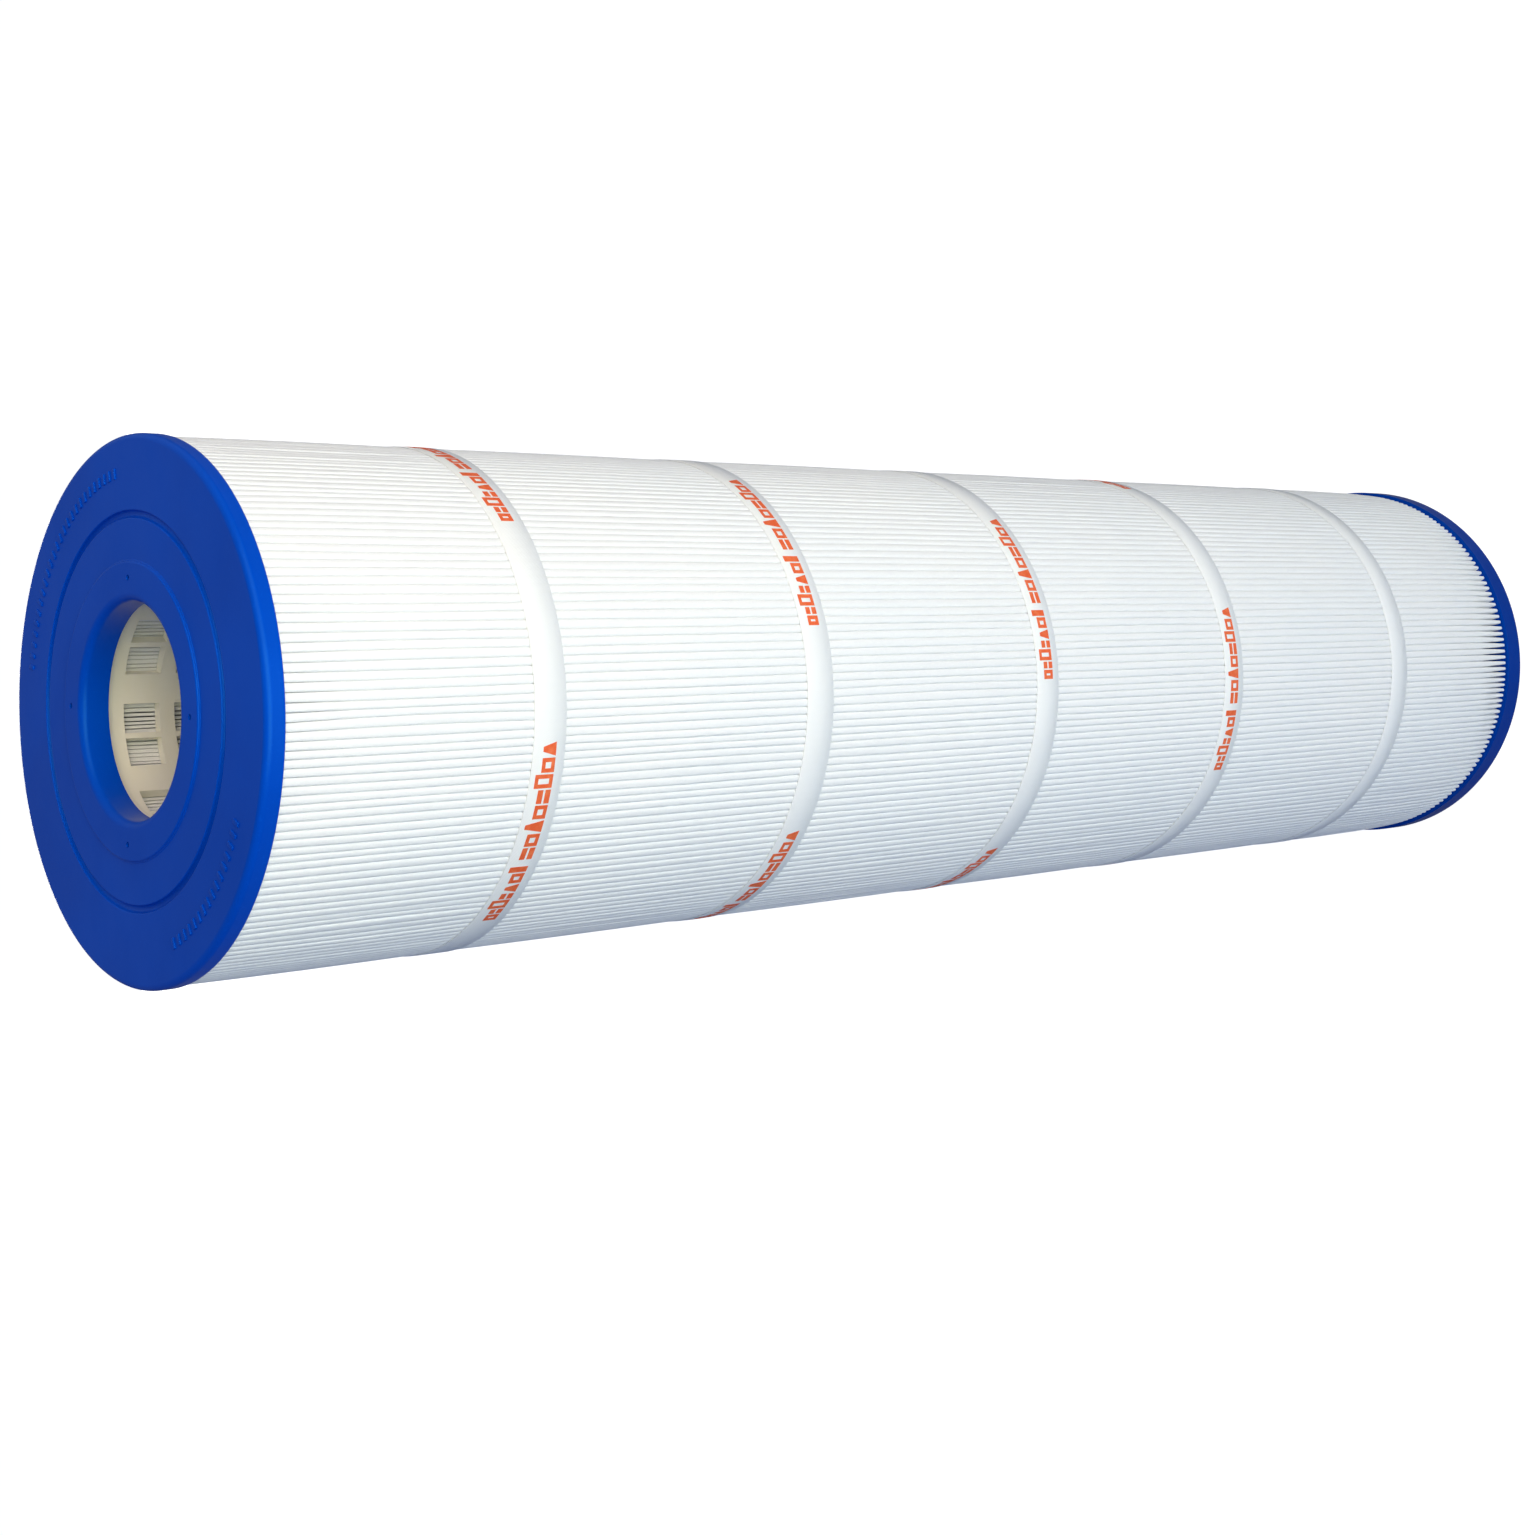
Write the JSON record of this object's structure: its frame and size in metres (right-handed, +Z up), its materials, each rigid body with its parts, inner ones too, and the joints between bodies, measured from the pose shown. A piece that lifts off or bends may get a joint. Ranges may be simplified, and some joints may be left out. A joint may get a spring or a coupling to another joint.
{
  "type": "pool filter cartridge",
  "caption": "Open-ended pleated water filter: star-folded white media round a perforated core tube, held by tape bands between two cast blue end caps with a central hole.",
  "frame": {"origin": "middle of the bottom end cap's sealing collar, on the cartridge's centre line", "axes": "+Z up the centre line towards the top end cap, +X and +Y across the cartridge"},
  "size_m": [0.178, 0.178, 0.6976],
  "materials": {
    "cap_urethane": "cast polyurethane, royal blue, satin to glossy",
    "filter_media": "spun-bonded polyester, white, matt",
    "band_tape": null,
    "core_plastic": "injection-moulded plastic, ivory, satin",
    "hot_melt": "hot-melt adhesive, translucent off-white"
  },
  "bodies": {
    "root": {"top_end_cap": "cap_urethane", "bottom_end_cap": "cap_urethane", "pleated_media": "filter_media", "media_seam": "hot_melt", "core_section_1": "core_plastic", "core_section_2": "core_plastic", "core_section_3": "core_plastic", "core_section_4": "core_plastic", "core_section_5": "core_plastic", "band_1": "band_tape", "band_2": "band_tape", "band_3": "band_tape", "band_4": "band_tape", "band_5": "band_tape", "band_1_glue": "hot_melt", "band_2_glue": "hot_melt", "band_3_glue": "hot_melt", "band_4_glue": "hot_melt", "band_5_glue": "hot_melt"}
  },
  "joints": []
}
